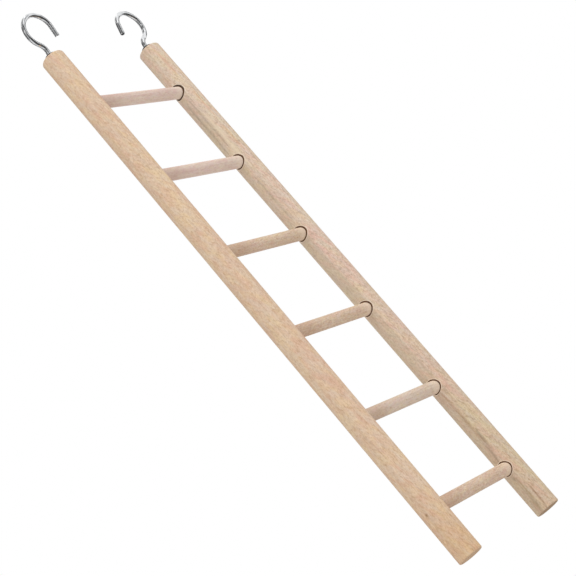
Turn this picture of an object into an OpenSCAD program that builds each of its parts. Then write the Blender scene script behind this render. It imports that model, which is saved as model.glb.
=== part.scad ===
// Wooden bird ladder that hangs from a cage by two wire screw hooks.
// The origin is midway between the top ends of the two rails: X runs along the rungs from the
// left rail to the right one, Y through the ladder, and Z up the rails.

/* [Rails] */
// Distance between the two rails' centre lines
rail_spacing = 85; // [60:1:150]
// Length of each rail
rail_len = 380; // [260:5:600]
// Diameter of each rail
rail_d = 15; // [13:0.5:22]
// Radius of the eased edge round each end of a rail
rail_edge = 0.8; // [0.4:0.1:2]

/* [Rungs] */
// Number of rungs, spread evenly up the rails
rung_count = 6; // [2:1:8]
// Diameter of each rung
rung_d = 8; // [5:0.5:10]
// Height of the lowest rung's centre above the feet
foot_margin = 31.5; // [15:0.5:60]
// Depth of the highest rung's centre below the rails' top ends
head_margin = 38.5; // [32:0.5:60]
// Chamfer round each end of a rung
rung_chamfer = 0.6; // [0.2:0.1:1.2]

/* [Rung sockets] */
// Depth of each blind socket, from the rail's side to its flat bottom
socket_depth = 9; // [5:0.5:10]
// Radial room between a rung and its socket, which the glue fills
socket_room = 0.05; // [0.02:0.01:0.2]
// Radial gap of the wider mouth that shows as a dark ring round a rung
mouth_gap = 0.55; // [0.1:0.05:0.8]
// Depth of the wider mouth where the rail's side curves away furthest
mouth_depth = 0.6; // [0.3:0.1:1.5]

/* [Hook wire] */
// Diameter of the hook's wire
wire_d = 2.8; // [2:0.1:4]
// Length of the screw shank below the rail's end
screw_len = 18; // [10:1:20]
// Length of the screw's sharp point
point_len = 3.5; // [2:0.5:6]
// Radial room round the screw shank in its pilot hole
pilot_room = 0.05; // [0.02:0.01:0.3]
// Centre-line radius of the small bend that leans the hook
lean_bend_r = 4; // [3:0.5:8]
// Straight length between the leaning bend and the swing outwards
stem_len = 0.6; // [0.2:0.1:10]
// Centre-line radius of the swing outwards
swing_bend_r = 7.2; // [4:0.2:12]
// Angle of the swing outwards
swing_angle = 59; // [40:0.5:75]
// Clear diameter inside the loop
loop_inner_d = 18.5; // [12:0.1:30]
// Angle that the loop turns through
loop_angle = 230; // [180:1:250]
// Straight length between the loop and the cut tip
tip_len = 7.3; // [2:0.1:12]
// Chamfer round the cut tip
tip_chamfer = 0.3; // [0.1:0.05:0.6]

/* [Hook collar] */
// Diameter of the pressed collar that seats on the rail's end
collar_d = 7.5; // [6:0.1:11]
// Height of the collar's upright rim
collar_rim = 2.5; // [0.6:0.1:4]
// Height of the collar's dome above its rim
collar_dome = 0.9; // [0.5:0.1:2]
// Thickness of the collar's sheet metal
collar_sheet = 0.5; // [0.3:0.05:0.8]
// Radial room between the collar and the wire
collar_room = 0.03; // [0.01:0.01:0.1]

/* [How the hooks stand] */
// Angle that the left hook leans
left_lean = 16; // [0:0.5:20]
// Direction in which the left hook leans, anticlockwise from +X
left_lean_to = -98; // [-180:1:180]
// Angle that the left hook is turned off the rungs' direction
left_turn = -4; // [-30:1:30]
// Angle that the right hook leans
right_lean = 10.5; // [0:0.5:20]
// Direction in which the right hook leans, anticlockwise from +X
right_lean_to = -91; // [-180:1:180]
// Angle that the right hook is turned off the rungs' direction
right_turn = 1; // [-30:1:30]

/* [Hidden] */
$fn = 96;
// The two sides of the ladder, as the sign of X
LEFT = -1;
RIGHT = 1;
// Length by which a cutter passes the surface that it cuts
spill = 1;
rail_r = rail_d / 2;
rung_r = rung_d / 2;
wire_r = wire_d / 2;
rung_pitch = (rail_len - foot_margin - head_margin) / (rung_count - 1);
// Distance of a socket's flat bottom from its rail's centre line, towards the other rail
socket_floor = rail_r - socket_depth;
rung_len = rail_spacing - 2 * socket_floor;
mouth_r = rung_r + mouth_gap;
// How far the rail's side has curved away at the edge of a socket's mouth
side_fall = rail_r - sqrt(rail_r * rail_r - mouth_r * mouth_r);
loop_r = (loop_inner_d + wire_d) / 2;
// How much wider than the wire the ball is that joins a bend to the next length
joint_swell = 0.01;
collar_h = collar_rim + collar_dome;
// The colours of the wood and the plating
rail_colour = [0.84, 0.70, 0.55];
rung_colour = [0.87, 0.75, 0.63];
plating_colour = [0.80, 0.81, 0.82];

RUNGS = [for (i = [1 : rung_count]) str("rung_", i)];

// Angle that turns what faces +X towards the other rail
function facing(side) = side == LEFT ? 0 : 180;

function rung_z(i) = foot_margin - rail_len + (i - 1) * rung_pitch;

// Half section of a round bar from z = 0 up, with a rounded edge at both ends
module round_edged_bar(r, length, edge) {
  rotate_extrude()
    union() {
      square([r - edge, length]);
      translate([0, edge])
        square([r, length - 2 * edge]);
      for (y = [edge, length - edge])
        translate([r - edge, y])
          intersection() {
            circle(edge);
            translate([-edge / 2, -edge])
              square([2 * edge, 2 * edge]);
          }
    }
}

// Blind socket cut from the side of a rail that stands on the Z axis and faces +X
module socket() {
  translate([socket_floor, 0, 0])
    rotate([0, 90, 0])
      cylinder(h = socket_depth + spill, r = rung_r + socket_room);
  translate([rail_r - side_fall - mouth_depth, 0, 0])
    rotate([0, 90, 0])
      cylinder(h = side_fall + mouth_depth + spill, r = mouth_r);
}

// Pilot hole down from the top end for the hook's screw, with a pointed bottom
module pilot_hole() {
  translate([0, 0, -screw_len])
    cylinder(h = point_len, r1 = pilot_room, r2 = wire_r + pilot_room);
  translate([0, 0, point_len - screw_len])
    cylinder(h = screw_len - point_len + spill, r = wire_r + pilot_room);
}

// One side rail, standing on its own axis with its sockets facing +X and its top end at z = 0
module rail() {
  color(rail_colour)
    difference() {
      translate([0, 0, -rail_len])
        round_edged_bar(rail_r, rail_len, rail_edge);
      for (i = [1 : rung_count])
        translate([0, 0, rung_z(i)])
          socket();
      pilot_hole();
    }
}

// A rung, from one rail's socket bottom to the other's, with chamfered ends
module rung(i) {
  color(rung_colour)
    translate([-rung_len / 2, 0, rung_z(i)])
      rotate([0, 90, 0])
        rotate_extrude()
          polygon([
            [0, 0],
            [rung_r - rung_chamfer, 0],
            [rung_r, rung_chamfer],
            [rung_r, rung_len - rung_chamfer],
            [rung_r - rung_chamfer, rung_len],
            [0, rung_len]
          ]);
}

// Round wire that starts at the origin along +Z and bends towards +X
module bend(r, angle) {
  translate([r, 0, 0])
    rotate([90, 0, 180])
      rotate_extrude(angle = angle)
        translate([r, 0])
          circle(wire_r);
}

// Puts its children at the end of such a bend, with +Z along the wire
module after_bend(r, angle) {
  translate([r, 0, 0])
    rotate([0, angle, 0])
      translate([-r, 0, 0])
        children();
}

// A straight length of the wire along +Z, turned so that its seam runs on into the bend after it
module straight(length) {
  rotate([0, 0, 180])
    cylinder(h = length, r = wire_r);
}

// Wire bent step by step, as a wire bender is set: each step is a turn about the wire, a straight
// length, and the radius and angle of the bend that follows. A ball closes the joint where a bend
// ends. The children go on the wire's end.
module bent_wire(steps, i = 0) {
  if (i < len(steps)) {
    turn = steps[i][0];
    length = steps[i][1];
    r = steps[i][2];
    angle = steps[i][3];
    rotate([0, 0, turn]) {
      if (length > 0)
        straight(length);
      translate([0, 0, length]) {
        if (angle > 0)
          bend(r, angle);
        after_bend(r, angle) {
          sphere(wire_r + joint_swell);
          bent_wire(steps, i + 1)
            children();
        }
      }
    }
  } else {
    children();
  }
}

// The straight end of the wire, cut square and chamfered
module cut_tip() {
  straight(tip_len - tip_chamfer);
  translate([0, 0, tip_len - tip_chamfer])
    rotate([0, 0, 180])
      cylinder(h = tip_chamfer, r1 = wire_r, r2 = wire_r - tip_chamfer);
}

// A hook on the Z axis, seated at z = 0, whose loop opens towards +X
module hook(lean, lean_to, turn) {
  half_turn = 180;
  color(plating_colour)
    rotate([0, 0, lean_to]) {
      translate([0, 0, -screw_len])
        rotate([0, 0, half_turn])
          cylinder(h = point_len, r1 = 0, r2 = wire_r);
      translate([0, 0, point_len - screw_len])
        bent_wire([
          [0, screw_len - point_len + collar_h, lean_bend_r, lean],
          [turn - lean_to + half_turn, stem_len, swing_bend_r, swing_angle],
          [half_turn, 0, loop_r, loop_angle]
        ])
          cut_tip();
    }
}

// Half section under the collar's dome, as wide as r and closed above by a circle of radius dome_r
module dome_section(r, dome_r, centre_z) {
  intersection() {
    square([r, collar_h]);
    translate([0, centre_z])
      circle(dome_r);
  }
}

// The pressed cup that seats on the rail's end round the wire
module collar() {
  outer_r = collar_d / 2;
  dome_r = (outer_r * outer_r + collar_dome * collar_dome) / (2 * collar_dome);
  centre_z = collar_h - dome_r;
  color(plating_colour)
    rotate_extrude()
      difference() {
        dome_section(outer_r, dome_r, centre_z);
        dome_section(outer_r - collar_sheet, dome_r - collar_sheet, centre_z);
        translate([0, -spill])
          square([wire_r + collar_room, collar_h + 2 * spill]);
      }
}

// Puts what faces +X on the rail's axis of one side, facing the other rail
module on_side(side) {
  translate([side * rail_spacing / 2, 0, 0])
    rotate([0, 0, facing(side)])
      children();
}

module left_rail() {
  on_side(LEFT) rail();
}

module right_rail() {
  on_side(RIGHT) rail();
}

module left_hook() {
  on_side(LEFT) hook(left_lean, left_lean_to - facing(LEFT), left_turn);
}

module right_hook() {
  on_side(RIGHT) hook(right_lean, right_lean_to - facing(RIGHT), right_turn);
}

module left_collar() {
  on_side(LEFT) collar();
}

module right_collar() {
  on_side(RIGHT) collar();
}

left_rail();
right_rail();
for (i = [1 : rung_count]) rung(i);
left_hook();
right_hook();
left_collar();
right_collar();
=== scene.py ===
import math

import bpy
from mathutils import Matrix, Vector


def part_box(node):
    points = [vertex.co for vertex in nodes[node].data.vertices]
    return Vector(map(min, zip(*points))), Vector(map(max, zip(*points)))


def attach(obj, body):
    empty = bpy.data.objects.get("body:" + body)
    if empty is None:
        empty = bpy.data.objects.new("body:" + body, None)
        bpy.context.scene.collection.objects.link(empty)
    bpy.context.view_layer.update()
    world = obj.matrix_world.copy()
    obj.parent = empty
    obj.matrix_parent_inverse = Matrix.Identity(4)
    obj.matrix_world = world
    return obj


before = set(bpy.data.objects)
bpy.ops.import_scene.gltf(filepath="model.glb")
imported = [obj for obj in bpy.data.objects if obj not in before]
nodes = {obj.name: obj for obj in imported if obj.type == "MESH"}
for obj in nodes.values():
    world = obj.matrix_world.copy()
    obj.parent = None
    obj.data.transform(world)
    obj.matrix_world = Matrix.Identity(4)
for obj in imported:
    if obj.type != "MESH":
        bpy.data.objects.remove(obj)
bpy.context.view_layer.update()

MM = 0.001
RUNGS = sorted(name for name in nodes if name.startswith("rung_"))


def middle(node):
    low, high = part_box(node)
    return (low + high) / 2


def size(node):
    low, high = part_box(node)
    return high - low


def add_object(name, data):
    made = bpy.data.objects.new(name, data)
    bpy.context.scene.collection.objects.link(made)
    return made


# Sizes and places of the ladder, from its frame. The rungs are numbered from the lowest one up.
RAIL_RADIUS = size("left_rail").x / 2
RAIL_OFFSET = middle("right_rail").x
RAIL_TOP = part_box("left_rail")[1].z
RAIL_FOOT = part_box("left_rail")[0].z
RUNG_RADIUS = size(RUNGS[0]).z / 2
RUNG_PITCH = middle(RUNGS[1]).z - middle(RUNGS[0]).z
# Width of the gap round a rung in its socket's mouth
MOUTH_GAP = 0.55 * MM


# Node trees and the maths in them


class Tree:
    """A node tree and the one method, node(), that adds to it."""

    def __init__(self, tree):
        self.tree = tree
        self.tree.nodes.clear()

    def node(self, kind, settings=None, inputs=None):
        """Adds a node: its settings first, and then its sockets' values or links."""
        node = self.tree.nodes.new(kind)
        for key, value in (settings or {}).items():
            setattr(node, key, value)
        for key, value in (inputs or {}).items():
            socket = value.socket if isinstance(value, Value) else value
            if isinstance(socket, bpy.types.NodeSocket):
                self.tree.links.new(socket, node.inputs[key])
            else:
                node.inputs[key].default_value = socket
        return node

    def parts(self, vector):
        """The vector's X, Y and Z."""
        separate = self.node("ShaderNodeSeparateXYZ", None, {0: vector})
        return [Value(self, socket) for socket in separate.outputs]


class Value:
    """A number inside a node tree. Python's operators on it add Math nodes."""

    def __init__(self, owner, socket):
        self.owner = owner
        self.socket = socket

    def math(self, operation, *numbers):
        node = self.owner.node("ShaderNodeMath", {"operation": operation}, dict(enumerate(numbers)))
        return Value(self.owner, node.outputs[0])

    def __add__(self, other):
        return self.math("ADD", self, other)

    def __radd__(self, other):
        return self.math("ADD", other, self)

    def __sub__(self, other):
        return self.math("SUBTRACT", self, other)

    def __rsub__(self, other):
        return self.math("SUBTRACT", other, self)

    def __mul__(self, other):
        return self.math("MULTIPLY", self, other)

    def __rmul__(self, other):
        return self.math("MULTIPLY", other, self)

    def __truediv__(self, other):
        return self.math("DIVIDE", self, other)

    def __rtruediv__(self, other):
        return self.math("DIVIDE", other, self)

    def __pow__(self, other):
        return self.math("POWER", self, other)

    def __rpow__(self, other):
        return self.math("POWER", other, self)

    def __abs__(self):
        return self.math("ABSOLUTE", self)

    def root(self):
        return self.math("SQRT", self)

    def wave(self):
        return self.math("SINE", self)

    def at_least(self, other):
        return self.math("MAXIMUM", self, other)

    def at_most(self, other):
        return self.math("MINIMUM", self, other)

    def rise(self, start, end):
        """0 up to start and 1 from end on, smoothly. It falls instead where end is the lower one."""
        low, high = sorted((start, end))
        falls = end < start
        node = self.owner.node("ShaderNodeMapRange", {"interpolation_type": "SMOOTHSTEP"}, {
            "Value": self, "From Min": low, "From Max": high,
            "To Min": float(falls), "To Max": float(not falls)})
        return Value(self.owner, node.outputs["Result"])


def distance(x, y):
    """How far the place x across and y up lies from 0, 0."""
    return (x * x + y * y).root()


class Finish(Tree):
    """A material's node tree, with short methods for the nodes that recur in it."""

    def __init__(self, name):
        self.material = bpy.data.materials.new(name)
        self.material.use_nodes = True
        super().__init__(self.material.node_tree)

    def place(self):
        return self.node("ShaderNodeTexCoord").outputs["Object"]

    def vector(self, operation, first, second):
        inputs = {0: first, 1: second}
        return self.node("ShaderNodeVectorMath", {"operation": operation}, inputs).outputs[0]

    def length(self, vector):
        node = self.node("ShaderNodeVectorMath", {"operation": "LENGTH"}, {0: vector})
        return Value(self, node.outputs["Value"])

    def turned(self, vector, turn):
        inputs = {"Vector": vector, "Rotation": turn}
        return self.node("ShaderNodeMapping", {"vector_type": "POINT"}, inputs).outputs[0]

    def noise_node(self, vector, across, along, detail, roughness):
        scale = (across, across, across if along is None else along)
        return self.node("ShaderNodeTexNoise", None, {
            "Vector": self.vector("MULTIPLY", vector, scale), "Scale": 1.0,
            "Detail": detail, "Roughness": roughness})

    def noise(self, vector, across, along=None, detail=2.0, roughness=0.5):
        """Smooth random values round 0.5, with that many features to a metre along X and Y, and along Z."""
        return Value(self, self.noise_node(vector, across, along, detail, roughness).outputs["Fac"])

    def random_vector(self, vector, across):
        """Smooth random vectors round (0, 0, 0), up to about 0.5 long each way."""
        colour = self.noise_node(vector, across, None, 2.0, 0.5).outputs["Color"]
        return self.vector("SUBTRACT", colour, (0.5, 0.5, 0.5))

    def mix(self, share, first, second, blend="MIX"):
        """The colour first, turned into second by share."""
        settings = {"data_type": "RGBA", "blend_type": blend}
        return self.node("ShaderNodeMix", settings, {0: share, 6: first, 7: second}).outputs[2]

    def bump(self, height, strength, depth):
        inputs = {"Strength": strength, "Distance": depth, "Height": height}
        return self.node("ShaderNodeBump", None, inputs).outputs[0]

    def surface(self, inputs):
        shader = self.node("ShaderNodeBsdfPrincipled", None, inputs)
        self.node("ShaderNodeOutputMaterial", None, {"Surface": shader.outputs[0]})


def srgb(red, green, blue):
    """A colour as a screen shows it, from 0 to 255, as a socket's linear values."""
    shares = [channel / 255 for channel in (red, green, blue)]
    return tuple(s / 12.92 if s <= 0.04045 else ((s + 0.055) / 1.055) ** 2.4 for s in shares) + (1.0,)


# Woods

# Each wood's tones, and how much of each pattern shows. A rail's foot is multiplied by its own tone, up to
# foot_reach above its end. mottle is the count of patches to a metre, across the grain and along it.
NEAR_BEECH = {
    "yellow": srgb(234, 206, 167), "pink": srgb(222, 183, 157), "faded": srgb(225, 206, 188),
    "light": srgb(248, 221, 194), "deep": srgb(190, 153, 119), "grey": srgb(196, 174, 144),
    "foot": srgb(248, 241, 231), "foot_reach": 60 * MM,
    "top_end": srgb(222, 190, 154), "foot_end": srgb(216, 182, 148),
    "rings": 0.10, "streaks": 0.14, "flecks": 0.45, "band": 0.16, "mottle": (260, 95)}
FAR_BEECH = {
    "yellow": srgb(229, 209, 174), "pink": srgb(230, 191, 173), "faded": srgb(220, 206, 193),
    "light": srgb(243, 228, 213), "deep": srgb(182, 155, 130), "grey": srgb(190, 172, 146),
    "foot": srgb(245, 243, 234), "foot_reach": 200 * MM,
    "top_end": srgb(218, 188, 156), "foot_end": srgb(176, 143, 109),
    "rings": 0.09, "streaks": 0.24, "flecks": 0.54, "band": 0.38, "mottle": (260, 70)}
# A birch's end tone is a painted highlight on each rung's end by the far rail.
TAN_BIRCH = {
    "yellow": srgb(224, 201, 166), "pink": srgb(218, 182, 164), "faded": srgb(212, 196, 180),
    "light": srgb(240, 224, 206), "deep": srgb(176, 138, 108), "grey": srgb(182, 160, 134),
    "end": srgb(240, 218, 194), "rings": 0.08, "streaks": 0.18, "flecks": 0.38, "mottle": (620, 75)}
CREAM_BIRCH = {
    **TAN_BIRCH, "flecks": 0.26,
    "yellow": srgb(226, 208, 180), "pink": srgb(222, 195, 183), "faded": srgb(217, 205, 194)}
PINK_BIRCH = {
    **TAN_BIRCH, "flecks": 0.24,
    "yellow": srgb(230, 212, 188), "pink": srgb(225, 193, 183), "faded": srgb(228, 210, 201),
    "light": srgb(242, 226, 216), "deep": srgb(184, 148, 132), "grey": srgb(196, 174, 160),
    "end": srgb(242, 224, 204)}
# Each rung's wood, from the lowest rung up
RUNG_WOODS = (TAN_BIRCH, CREAM_BIRCH, TAN_BIRCH, TAN_BIRCH, PINK_BIRCH, PINK_BIRCH)

# Features to a metre of the patterns in the wood, across the grain and along it
FLECKS = (900, 330)
SPECKS = (1700, 800)
FIBRES = (1300, 50)
STREAKS = (400, 10)
PORES = (2600, 10)
# Turn of the mottle and flecks off the grain, in radians about X, Y and Z
FLECK_TURN = (0.2, 0.24, 0)
# How far apart in the noise two dowels' patterns lie, and the faded patches from the pink ones
SEED_STEP = (0.31, 0.17, 0.53)
FADE_STEP = (0.7, 0.4, 0.9)

# Where the tree's pith ran, from the dowel's axis, and the spacing and waviness of its growth rings
PITH = (34 * MM, 21 * MM)
RING_SPACING = 1.9 * MM
RING_WOBBLE = 3.0 * MM
RING_WOBBLES = (90, 6)


class Dowel(Finish):
    """Sanded, unvarnished wood. The finishes of the rails and rungs paint over its colour."""

    def __init__(self, name, centre, along_x, wood, seed):
        super().__init__(name)
        # From here on Z runs along the grain, and X and Y start at the dowel's axis
        centred = self.vector("SUBTRACT", self.place(), centre)
        self.grain = self.turned(centred, (0, -math.pi / 2 if along_x else 0, 0))
        self.u, self.v, self.along = self.parts(self.grain)
        self.add_patterns(wood["mottle"], seed)
        self.add_tones(wood)

    def add_patterns(self, mottle, seed):
        shifted = self.vector("ADD", self.grain, tuple(seed * step for step in SEED_STEP))
        turned = self.turned(shifted, FLECK_TURN)
        elsewhere = self.vector("ADD", turned, FADE_STEP)
        across, along = mottle
        self.slow = self.noise(shifted, across * 0.25, along * 0.3).rise(0.38, 0.62)
        self.hue = self.noise(turned, across, along, 3.0, 0.6).rise(0.38, 0.62)
        self.fade = self.noise(elsewhere, across * 1.4, along * 1.2, 3.0, 0.65).rise(0.38, 0.66)
        self.flecks = self.noise(turned, *FLECKS, 2.0, 0.6)
        self.specks = self.noise(shifted, *SPECKS, 1.0)
        self.fibres = self.noise(shifted, *FIBRES, 2.0, 0.6)
        self.streaks = self.noise(shifted, *STREAKS, 2.0, 0.55)
        wobble = self.noise(shifted, *RING_WOBBLES) * RING_WOBBLE
        from_pith = distance(self.u - PITH[0], self.v - PITH[1]) + wobble
        self.rings = (from_pith * (2 * math.pi / RING_SPACING)).wave() * 0.5 + 0.5

    def add_tones(self, wood):
        flecks = wood["flecks"]
        self.colour = self.mix(self.hue * 0.66 + self.slow * 0.34, wood["yellow"], wood["pink"])
        self.paint(self.fade * 0.6, wood["faded"])
        self.paint(self.rings ** 3.0 * wood["rings"], wood["deep"])
        self.paint(self.streaks.rise(0.53, 0.70) * wood["streaks"], wood["grey"])
        self.paint(self.fibres.rise(0.45, 0.75) * 0.26, wood["deep"])
        self.paint(self.flecks.rise(0.53, 0.68) * flecks, wood["deep"])
        self.paint(self.flecks.rise(0.45, 0.32) * (flecks * 0.7), wood["light"])
        self.paint(self.specks.rise(0.50, 0.72) * (flecks * 0.8), wood["deep"])
        self.paint(self.specks.rise(0.48, 0.30) * (flecks * 0.6), wood["light"])

    def paint(self, share, tone, blend="MIX"):
        """Turns the dowel's colour into tone by share."""
        self.colour = self.mix(share, self.colour, tone, blend)

    def sanded(self):
        """The finished material. Its fibres stand proud and are rougher than the wood between them."""
        height = self.fibres * 0.6 + self.rings * 0.2 + self.flecks * 0.4
        self.surface({
            "Base Color": self.colour, "Roughness": self.fibres * 0.17 + 0.55,
            "Specular IOR Level": 0.2, "Normal": self.bump(height, 0.3, 0.05 * MM)})
        return self.material


# Rails

# Direction from a rail's axis of the side that turns olive in long soft bands, in radians from +X
OLIVE_SIDE = math.radians(160)

# Painted shade in the sockets, dark brown: the holes' walls, paler towards the foot and darker towards the
# top, and the rungs' parts inside the rails.
SOCKET_SHADE_PALE = srgb(150, 100, 56)
SOCKET_SHADE_DARK = srgb(98, 58, 26)
CRUSHED = srgb(243, 226, 205)
PORE_BROWN = srgb(134, 98, 66)
KNOT_BROWN = srgb(150, 112, 72)
LINE_BROWN = srgb(140, 96, 58)
SMEAR_OLIVE = srgb(140, 116, 80)
STREAK_GREY = srgb(150, 132, 112)
STREAK_ORANGE = srgb(214, 154, 112)
STREAK_CREAM = srgb(238, 220, 192)

# Width and colour of the ring round each rung's socket, from the lowest rung up. It is a stain, widened and
# darkened by painted shade of the socket's mouth.
RING_STAINS_AND_SHADE = (
    (0.08 * MM, srgb(104, 66, 34)), (0.15 * MM, srgb(104, 66, 34)), (0.30 * MM, srgb(90, 55, 28)),
    (0.35 * MM, srgb(90, 55, 28)), (0.32 * MM, srgb(84, 50, 24)), (0.56 * MM, srgb(42, 23, 9)))
# How far the rings sit above their sockets' centres, so that they are thicker on top, as a painted shadow in
# the top of each socket's mouth
RING_SHADOW_LIFT = 0.12 * MM
# Where the ring of stain and painted shade, and the pale ring outside it, start and reach full strength, from
# the ring's own width
STAIN_AND_SHADE_EDGE = (0.1 * MM, -0.08 * MM)
CRUSHED_EDGE = (0.65 * MM, 0.15 * MM)
RAGGEDNESS = 0.25 * MM

# Depths below a rail's ends, and below its round skin, between which side grain and end grain blend
END_DEPTHS = (1.6 * MM, 2.4 * MM)
RIM_DEPTHS = (0.25 * MM, 0.7 * MM)
# Depths below the skin between which a hole's wall turns to its painted shade
WALL_DEPTHS = (0.03 * MM, 0.25 * MM)

# How far line marks wander, how often to a metre, and how wide they still are at their tips
WANDER = 2.2 * MM
WANDERS = 60
LINE_TIP = 0.02 * MM


def on_rail(depth, angle):
    """The point of a rail's skin that many mm below its top, and at that angle from +X round its own axis."""
    turn = math.radians(angle)
    return (RAIL_RADIUS * math.cos(turn), RAIL_RADIUS * math.sin(turn), RAIL_TOP - depth * MM)


def spot(finish, place, centre, across, along):
    """1 at centre and 0 past its reach across the grain and along it, in mm."""
    offset = finish.vector("SUBTRACT", place, centre)
    reach = (across * MM, across * MM, along * MM)
    return finish.length(finish.vector("DIVIDE", offset, reach)).rise(1.0, 0.0)


def line(finish, place, start, end, width):
    """1 on the line from start to end and 0 past width mm from it. It thins out towards both ends."""
    span = Vector(end) - Vector(start)
    offset = finish.vector("SUBTRACT", place, start)
    product = finish.node("ShaderNodeVectorMath", {"operation": "DOT_PRODUCT"}, {
        0: offset, 1: tuple(span / span.length_squared)})
    share = Value(finish, product.outputs["Value"]).at_least(0.0).at_most(1.0)
    nearest = finish.node("ShaderNodeVectorMath", {"operation": "SCALE"}, {
        0: tuple(span), "Scale": share})
    away = finish.length(finish.vector("SUBTRACT", offset, nearest.outputs[0]))
    slimness = (share * (1 - share) * 4).root()
    return (away / (slimness * (width * MM) + LINE_TIP)).rise(1.0, 0.0)


# Marks on each rail: the kind, its colour and strength, and what spot() or line() takes after the place
NEAR_MARKS = (
    (spot, KNOT_BROWN, 0.85, (on_rail(350.1, -177.8), 1.3, 1.7)),
    (spot, CRUSHED, 0.60, (on_rail(133.4, -159.4), 0.9, 1.2)),
    (spot, KNOT_BROWN, 0.60, (on_rail(133.4, -159.4), 0.45, 0.6)),
    (line, LINE_BROWN, 0.25, (on_rail(290, -172), on_rail(318, -150), 0.9)),
)
FAR_MARKS = (
    (line, STREAK_GREY, 0.55, (on_rail(319.5, -153), on_rail(345, -182), 1.9)),
    (line, LINE_BROWN, 0.35, (on_rail(290, -172), on_rail(330, -166), 2.0)),
    (line, LINE_BROWN, 0.60, (on_rail(364, -138.5), on_rail(381, -147.5), 1.0)),
    (line, SMEAR_OLIVE, 0.42, (on_rail(356, -163), on_rail(380, -172), 2.6)),
    (line, SMEAR_OLIVE, 0.36, (on_rail(370, -184), on_rail(381.5, -186), 2.2)),
    (spot, KNOT_BROWN, 0.70, (on_rail(361.4, -127.3), 0.8, 1.1)),
    (spot, SMEAR_OLIVE, 0.60, (on_rail(356.2, -175.7), 1.6, 2.6)),
    (line, STREAK_CREAM, 0.60, (on_rail(60, -146), on_rail(110, -142), 2.6)),
    (line, STREAK_GREY, 0.45, (on_rail(48, -160), on_rail(90, -158), 1.6)),
    (line, STREAK_GREY, 0.50, (on_rail(50, 176), on_rail(93, 172), 1.8)),
    (line, STREAK_ORANGE, 0.45, (on_rail(44, -112), on_rail(70, -109), 0.9)),
    (line, STREAK_ORANGE, 0.40, (on_rail(66, -120), on_rail(98, -108), 1.1)),
    (line, STREAK_ORANGE, 0.35, (on_rail(4, -126), on_rail(30, -118), 1.6)),
    (line, STREAK_GREY, 0.35, (on_rail(113, -165), on_rail(154, -158), 1.8)),
)


def tint_foot_and_side(rail, wood):
    """Tints the foot, and turns one side to olive in long soft bands."""
    foot = rail.along.rise(RAIL_FOOT + wood["foot_reach"], RAIL_FOOT)
    rail.paint(foot, wood["foot"], "MULTIPLY")
    towards_side = rail.u * math.cos(OLIVE_SIDE) + rail.v * math.sin(OLIVE_SIDE)
    band = towards_side / RAIL_RADIUS + (rail.streaks - 0.5) * 1.6
    rail.paint(band.rise(0.35, 1.0) * wood["band"], wood["grey"])


def add_marks(rail, marks):
    """Knots, smears and streaks. Lines wander a little, and all marks break up along the fibres."""
    wander = rail.vector("MULTIPLY", rail.random_vector(rail.grain, WANDERS), (WANDER, WANDER, WANDER))
    wandering = rail.vector("ADD", rail.grain, wander)
    broken = rail.fibres.rise(0.30, 0.60) * 0.6 + 0.4
    for kind, tone, share, where in marks:
        place = wandering if kind is line else rail.grain
        rail.paint(kind(rail, place, *where) * broken * share, tone)


def stain_and_shade_sockets(rail, inwards):
    """A brown ring round each socket, partly stain and partly painted shade, and outside it a pale ring of
    crushed fibres.
    """
    ragged = (rail.noise(rail.grain, 1300) - 0.5) * RAGGEDNESS
    facing_in = (rail.u * inwards).rise(0.0, RAIL_RADIUS * 0.3)
    for number, rung in enumerate(RUNGS):
        width, stain_and_shade = RING_STAINS_AND_SHADE[min(number, len(RING_STAINS_AND_SHADE) - 1)]
        # Lifting the ring paints shadow above the rung, so the ring is thicker on top.
        above = rail.along - (middle(rung).z + RING_SHADOW_LIFT)
        past_stain_and_shade = distance(above, rail.v) - (RUNG_RADIUS + MOUTH_GAP + width) + ragged
        rail.paint(past_stain_and_shade.rise(*CRUSHED_EDGE) * facing_in * 0.65, CRUSHED)
        rail.paint(past_stain_and_shade.rise(*STAIN_AND_SHADE_EDGE) * facing_in * 0.92, stain_and_shade)


def paint_cut_faces(rail, wood):
    """The end grain, which shows the growth rings and fine pores, and the walls of the drilled holes, which
    are painted dark brown as shade.
    """
    depth = RAIL_RADIUS - distance(rail.u, rail.v)
    from_end = (RAIL_TOP - rail.along).at_most(rail.along - RAIL_FOOT)
    between_ends = from_end.rise(*END_DEPTHS)
    upwards = rail.along.rise(RAIL_FOOT, RAIL_TOP)
    pores = rail.noise(rail.grain, *PORES, 1.0)
    end_grain = rail.mix(upwards, wood["foot_end"], wood["top_end"])
    end_grain = rail.mix(rail.rings ** 2.0 * 0.5, end_grain, wood["deep"])
    end_grain = rail.mix(pores.rise(0.5, 0.72) * 0.55, end_grain, PORE_BROWN)
    rail.paint((1 - between_ends) * depth.rise(*RIM_DEPTHS) * 0.9, end_grain)
    # Painted shade: the holes' walls are dark brown, darker towards the top.
    wall_shade = rail.mix(upwards, SOCKET_SHADE_PALE, SOCKET_SHADE_DARK)
    rail.paint(depth.rise(*WALL_DEPTHS) * between_ends, wall_shade)


def rail_finish(name, node, wood, seed, marks):
    axis = middle(node).x
    rail = Dowel(name, (axis, 0.0, 0.0), False, wood, seed)
    tint_foot_and_side(rail, wood)
    add_marks(rail, marks)
    stain_and_shade_sockets(rail, -1 if axis > 0 else 1)
    paint_cut_faces(rail, wood)
    return rail.sanded()


# Rungs


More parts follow.
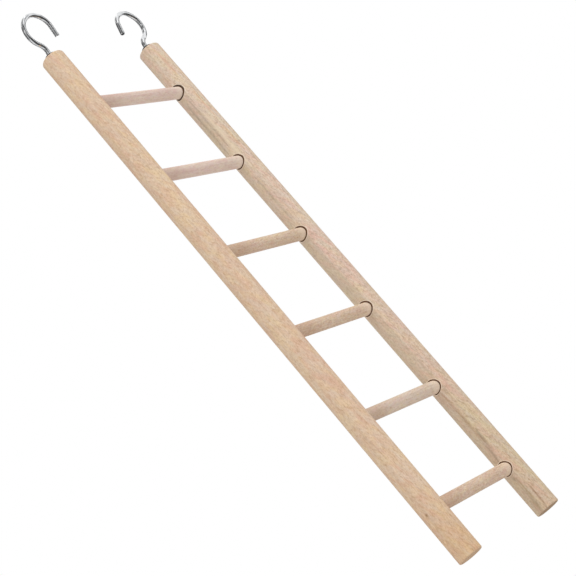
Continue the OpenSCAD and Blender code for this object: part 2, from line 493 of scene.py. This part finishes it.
def rung_finish(name, node, wood, seed):
    rung = Dowel(name, tuple(middle(node)), True, wood, seed)
    # Distance of the rung's surface from the rail's skin, which is 0 where the rung goes in
    out = distance(abs(rung.along) - RAIL_OFFSET, rung.v) - RAIL_RADIUS
    far = rung.along.rise(0.0, 30 * MM)
    # Painted highlight: the rung turns paler towards its end by the far rail.
    rung.paint(out.rise(8 * MM, 0.5 * MM) * far * 0.6, wood["end"])
    # Painted shade: the rung turns darker towards its end by the near rail.
    rung.paint(out.rise(26 * MM, 6 * MM) * (1 - far) * 0.35, wood["deep"])
    # Painted shade: the rung is dark brown where it lies inside the rail.
    rung.paint(out.rise(0.15 * MM, -0.25 * MM), SOCKET_SHADE_DARK)
    return rung.sanded()


# Plating and glue

PLATING_LIGHT = srgb(234, 235, 236)
PLATING_DARK = srgb(206, 208, 210)
# Colour of the painted shade in the crease at each collar's foot, where it meets the wood
CREASE_SHADE = srgb(52, 46, 42)
# How far the painted shade in the crease at the collars' foot reaches above the rails' top ends
CREASE_SHADE_REACH = 2.6 * MM
GLUE_LIGHT = srgb(138, 90, 50)
GLUE_DARK = srgb(100, 64, 34)


def plating_finish(name, seed, shade_top=None):
    """Bright plated steel with faint scuffs. Below an optional top height it is darkened by painted shade and
    made rougher, as in the crease where it meets the wood.
    """
    plating = Finish(name)
    place = plating.place()
    shifted = plating.vector("ADD", place, (seed, seed, seed))
    cloud = plating.noise(shifted, 260, detail=3.0, roughness=0.6)
    scuffs = plating.noise(shifted, 1900, 500, 2.0, 0.6)
    colour = plating.mix(cloud.rise(0.35, 0.75), PLATING_LIGHT, PLATING_DARK)
    roughness = scuffs.rise(0.45, 0.8) * 0.03 + 0.035
    if shade_top is not None:
        # Painted shade: the collar turns dark below the top height, in the crease by the wood.
        height = plating.parts(place)[2] + (cloud - 0.5) * (0.8 * MM)
        crease_shade = height.rise(shade_top, shade_top - 0.5 * MM)
        colour = plating.mix(crease_shade * 0.92, colour, CREASE_SHADE)
        roughness = roughness + crease_shade * 0.25
    plating.surface({
        "Base Color": colour, "Metallic": 1.0, "Roughness": roughness,
        "Normal": plating.bump(scuffs, 0.01, 0.02 * MM)})
    return plating.material


def glue_finish():
    """Dried glue with sanding dust in it."""
    glue = Finish("dried_glue")
    dust = glue.noise(glue.place(), 1500)
    colour = glue.mix(dust.rise(0.4, 0.7), GLUE_LIGHT, GLUE_DARK)
    glue.surface({"Base Color": colour, "Roughness": dust * 0.2 + 0.65, "Specular IOR Level": 0.12})
    return glue.material


# Glue lines round the rungs, made by geometry nodes

# Points round one ring of glue, sides of the bead, and ripples in it to a metre
RING_POINTS = 72
BEAD_SIDES = 8
GLUE_RIPPLES = 700.0


class Shape(Tree):
    """A geometry-node tree. inputs maps each input's name to its kind of socket and its value."""

    def __init__(self, name, inputs):
        super().__init__(bpy.data.node_groups.new(name, "GeometryNodeTree"))
        self.tree.interface.new_socket("Geometry", in_out="OUTPUT", socket_type="NodeSocketGeometry")
        self.values = {}
        for title, (kind, value) in inputs.items():
            socket = self.tree.interface.new_socket(title, in_out="INPUT", socket_type=kind)
            self.values[socket.identifier] = value
        self.inputs = self.node("NodeGroupInput").outputs

    def number(self, title):
        return Value(self, self.inputs[title])

    def point(self, x=0.0, y=0.0, z=0.0):
        return self.node("ShaderNodeCombineXYZ", None, {0: x, 1: y, 2: z}).outputs[0]

    def geometry(self, kind, inputs):
        return self.node(kind, None, inputs).outputs[0]

    def bake(self, name, geometry):
        """The geometry as a plain mesh object at the origin."""
        self.node("NodeGroupOutput", None, {0: geometry})
        carrier = add_object(name + "_carrier", bpy.data.meshes.new(name + "_carrier"))
        modifier = carrier.modifiers.new("shape", "NODES")
        modifier.node_group = self.tree
        for identifier, value in self.values.items():
            modifier[identifier] = value
        bpy.context.view_layer.update()
        evaluated = carrier.evaluated_get(bpy.context.evaluated_depsgraph_get())
        mesh = bpy.data.meshes.new_from_object(evaluated)
        bpy.data.objects.remove(carrier)
        return add_object(name, mesh)


def glue_lines(material):
    """A bead of glue low in the gap round each end of each rung. It follows the rail's side."""
    shape = Shape("glue_lines", {
        "Rail radius": ("NodeSocketFloat", RAIL_RADIUS),
        "Rail offset": ("NodeSocketFloat", RAIL_OFFSET),
        "Rung radius": ("NodeSocketFloat", RUNG_RADIUS),
        "Lowest rung": ("NodeSocketFloat", middle(RUNGS[0]).z),
        "Rung pitch": ("NodeSocketFloat", RUNG_PITCH),
        "Rungs": ("NodeSocketInt", len(RUNGS)),
        "Bead offset": ("NodeSocketFloat", MOUTH_GAP * 0.45),
        "Bead radius": ("NodeSocketFloat", MOUTH_GAP * 0.42),
        "Sunk": ("NodeSocketFloat", 0.45 * MM),
        "Unevenness": ("NodeSocketFloat", 0.35),
        "Seed": ("NodeSocketFloat", 7.0),
        "Glue": ("NodeSocketMaterial", material)})
    position = shape.node("GeometryNodeInputPosition").outputs[0]

    # A flat circle, pressed onto the side of a rail that faces +X
    circle = shape.geometry("GeometryNodeCurvePrimitiveCircle", {
        "Resolution": RING_POINTS, "Radius": shape.number("Rung radius") + shape.number("Bead offset")})
    across, up, _ = shape.parts(position)
    skin = shape.number("Rail radius") - shape.number("Sunk")
    reach = (skin * skin - across * across).root()
    ring = shape.geometry("GeometryNodeSetPosition", {
        "Geometry": circle, "Position": shape.point(reach, across, up)})

    # One ring for each rung, on both rails
    row = shape.geometry("GeometryNodeMeshLine", {
        "Count": shape.number("Rungs"), "Start Location": shape.point(z=shape.number("Lowest rung")),
        "Offset": shape.point(z=shape.number("Rung pitch"))})
    both_sides = shape.node("GeometryNodeJoinGeometry")
    for side, turn in ((-1, 0.0), (1, math.pi)):
        shift = shape.point(x=shape.number("Rail offset") * side)
        moved = shape.geometry("GeometryNodeSetPosition", {"Geometry": row, "Offset": shift})
        placed = shape.geometry("GeometryNodeInstanceOnPoints", {
            "Points": moved, "Instance": ring, "Rotation": (0.0, 0.0, turn)})
        shape.tree.links.new(placed, both_sides.inputs[0])
    rings = shape.geometry("GeometryNodeRealizeInstances", {"Geometry": both_sides.outputs[0]})

    # Beads along the rings, uneven in thickness
    uneven = shape.node("ShaderNodeTexNoise", {"noise_dimensions": "4D"}, {
        "Vector": position, "W": shape.number("Seed"), "Scale": GLUE_RIPPLES, "Detail": 1.0})
    swell = (Value(shape, uneven.outputs[0]) - 0.5) * shape.number("Unevenness") + 1.0
    thick = shape.geometry("GeometryNodeSetCurveRadius", {"Curve": rings, "Radius": swell})
    section = shape.geometry("GeometryNodeCurvePrimitiveCircle", {
        "Resolution": BEAD_SIDES, "Radius": shape.number("Bead radius")})
    beads = shape.geometry("GeometryNodeCurveToMesh", {"Curve": thick, "Profile Curve": section})
    smooth = shape.geometry("GeometryNodeSetShadeSmooth", {"Geometry": beads})
    plain = shape.geometry("GeometryNodeRealizeInstances", {"Geometry": smooth})
    glued = shape.geometry("GeometryNodeSetMaterial", {
        "Geometry": plain, "Material": shape.inputs["Glue"]})
    return shape.bake("glue_lines", glued)


# Stage, light and camera

FLOOR_LEVEL = -0.60
FLOOR_SIZE = 12.0
FLOOR_LIGHT = srgb(226, 226, 226)
FLOOR_DARK = srgb(221, 221, 222)
# Distances from the floor's middle between which it turns into the white background
FLOOR_FADE = (0.5, 3.0)
# Strength of the white world as a light
AMBIENT = 0.89
CENTRE = Vector((0.0, 0.0, (RAIL_TOP + RAIL_FOOT) / 2))
HOOKS = Vector((0.0, 0.0, RAIL_TOP + 18 * MM))

SOFTBOX_SIZE = 1.2
# Name, place from the ladder's centre and power of each softbox
SOFTBOXES = (
    ("softbox_front", (-0.52, -0.74, 1.44), 6.0),
    ("softbox_back", (1.0, 1.3, 0.4), 1.2),
    ("softbox_top", (-0.1, -0.3, 1.7), 4.0),
)

FLAG_DISTANCE = 1.3
# Name, direction from the hooks, width and height as seen from there, and brightness of each dark card.
# Directions are in degrees from +X and above the horizon, and sizes in degrees. They were fitted to the
# reflections in the photograph's wire, and then rounded.
FLAGS = (
    ("flag_beyond_right", (8, 22), (62, 33), 0.01),
    ("flag_beyond_left", (80, 19), (54, 74), 0.01),
    ("flag_front_low", (-76, -14), (16, 24), 0.01),
    ("flag_front", (-101, 0), (32, 56), 0.04),
    ("flag_front_right", (-61, 11), (11, 23), 0.01),
    ("flag_beside_low", (-141, -33), (34, 80), 0.02),
    ("flag_back_low", (127, -15), (15, 64), 0.01),
    ("flag_back", (156, 14), (66, 84), 0.20),
    ("flag_above", (-142, 58), (50, 84), 0.36),
)
# The card just above the floor: its direction and distance from the ladder, level, size and brightness
FLAG_BELOW_TURN = math.radians(-50)
FLAG_BELOW_DISTANCE = 0.55
FLAG_BELOW_LEVEL = FLOOR_LEVEL + 0.02
FLAG_BELOW_SIZE = (1.5, 2.3)
FLAG_BELOW_TONE = 0.08

# The camera stands low, in front of the ladder and to its left, and looks up. It is tilted by 40 degrees.
CAMERA_PLACE = (-0.69279, -0.47617, -0.46843)
CAMERA_FORWARD = (0.7790, 0.5442, 0.3115)
CAMERA_RIGHT = (0.6014, -0.5078, -0.6167)
CAMERA_LENS = 95.887


def aimed(place, way, axis):
    """The matrix at place whose axis points that way."""
    return Matrix.Translation(place) @ way.to_track_quat(axis, "Y").to_matrix().to_4x4()


def build_camera():
    camera = bpy.data.cameras.new("camera")
    camera.sensor_width = 36.0
    camera.lens = CAMERA_LENS
    camera.clip_start = 0.01
    camera.clip_end = 50.0
    forward = Vector(CAMERA_FORWARD).normalized()
    right = Vector(CAMERA_RIGHT)
    right = (right - right.dot(forward) * forward).normalized()
    turned = Matrix((right, right.cross(forward), -forward)).transposed().to_4x4()
    holder = add_object("camera", camera)
    holder.matrix_world = Matrix.Translation(CAMERA_PLACE) @ turned
    bpy.context.scene.camera = holder


def seen_ray(tree):
    """1 for the rays that show the background, straight or in a shiny or clear thing, and 0 for others."""
    rays = tree.node("ShaderNodeLightPath").outputs
    camera = Value(tree, rays["Is Camera Ray"])
    return camera.at_least(rays["Is Glossy Ray"]).at_least(rays["Is Transmission Ray"])


def build_world():
    """A white world that lights the ladder a little less brightly than it shows."""
    world = bpy.data.worlds.new("studio")
    bpy.context.scene.world = world
    world.use_nodes = True
    studio = Tree(world.node_tree)
    strength = seen_ray(studio) * (1.0 - AMBIENT) + AMBIENT
    inputs = {"Color": (1, 1, 1, 1), "Strength": strength}
    background = studio.node("ShaderNodeBackground", None, inputs)
    studio.node("ShaderNodeOutputWorld", None, {"Surface": background.outputs[0]})


def build_card(name, matrix, width, height, material):
    """A flat card at the matrix's origin that faces its +Z."""
    x, y = width / 2, height / 2
    mesh = bpy.data.meshes.new(name)
    mesh.from_pydata([(-x, -y, 0), (x, -y, 0), (x, y, 0), (-x, y, 0)], [], [(0, 1, 2, 3)])
    mesh.materials.append(material)
    card = add_object(name, mesh)
    card.matrix_world = matrix
    return card


def build_floor():
    """A pale floor that runs out into the white background, like a studio's sweep."""
    floor = Finish("floor")
    place = floor.place()
    colour = floor.mix(floor.noise(place, 3), FLOOR_LIGHT, FLOOR_DARK)
    ground = floor.node("ShaderNodeBsdfPrincipled", None, {
        "Base Color": colour, "Roughness": 0.9, "Specular IOR Level": 0.1})
    white = floor.node("ShaderNodeEmission", None, {"Color": (1, 1, 1, 1), "Strength": 1.0})
    far = floor.length(place).rise(*FLOOR_FADE) * seen_ray(floor)
    sweep = floor.node("ShaderNodeMixShader", None, {0: far, 1: ground.outputs[0], 2: white.outputs[0]})
    floor.node("ShaderNodeOutputMaterial", None, {"Surface": sweep.outputs[0]})
    matrix = aimed(Vector((0, 0, FLOOR_LEVEL)), Vector((0, 0, 1)), "Z")
    build_card("floor", matrix, FLOOR_SIZE, FLOOR_SIZE, floor.material)


def build_softbox(name, offset, power):
    lamp = bpy.data.lights.new(name, "AREA")
    lamp.shape = "SQUARE"
    lamp.size = SOFTBOX_SIZE
    lamp.energy = power
    offset = Vector(offset)
    add_object(name, lamp).matrix_world = aimed(CENTRE + offset, -offset, "-Z")


def build_flag(name, matrix, width, height, tone):
    """A dark card that only shiny things see. It gives the wire its dark streaks."""
    matt = Finish(name)
    matt.surface({"Base Color": (tone, tone, tone, 1), "Roughness": 1.0, "Specular IOR Level": 0.0})
    card = build_card(name, matrix, width, height, matt.material)
    card.visible_camera = False
    card.visible_diffuse = False
    card.visible_shadow = False
    card.visible_transmission = False


def build_flag_below():
    """The dark card just above the floor, in front of the ladder and to its right."""
    turned = Matrix.Rotation(FLAG_BELOW_TURN, 4, "Z")
    place = turned @ Vector((FLAG_BELOW_DISTANCE, 0.0, FLAG_BELOW_LEVEL))
    build_flag("flag_below", Matrix.Translation(place) @ turned, *FLAG_BELOW_SIZE, FLAG_BELOW_TONE)


def build_flag_towards(name, way, reach, tone):
    """The dark card in that direction from the hooks, facing them."""
    turn, rise = math.radians(way[0]), math.radians(way[1])
    out = Vector((math.cos(rise) * math.cos(turn), math.cos(rise) * math.sin(turn), math.sin(rise)))
    width, height = (2 * FLAG_DISTANCE * math.tan(math.radians(angle / 2)) for angle in reach)
    build_flag(name, aimed(HOOKS + out * FLAG_DISTANCE, -out, "Z"), width, height, tone)


build_camera()
build_world()
build_floor()
for softbox in SOFTBOXES:
    build_softbox(*softbox)
build_flag_below()
for flag in FLAGS:
    build_flag_towards(*flag)


# Dressing the ladder


def dress(node, material):
    nodes[node].data.materials.clear()
    nodes[node].data.materials.append(material)


dress("left_rail", rail_finish("near_rail_wood", "left_rail", NEAR_BEECH, 1.0, NEAR_MARKS))
dress("right_rail", rail_finish("far_rail_wood", "right_rail", FAR_BEECH, 2.0, FAR_MARKS))
for number, node in enumerate(RUNGS):
    dress(node, rung_finish(node + "_wood", node, RUNG_WOODS[number % len(RUNG_WOODS)], 3.0 + number))
for number, node in enumerate(("left_hook", "right_hook")):
    dress(node, plating_finish(node + "_plating", 0.2 + number))
for number, node in enumerate(("left_collar", "right_collar")):
    dress(node, plating_finish(node + "_plating", 2.2 + number, RAIL_TOP + CREASE_SHADE_REACH))

glue = glue_lines(glue_finish())
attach(glue, "root")

scene = bpy.context.scene
scene.view_settings.view_transform = "Standard"
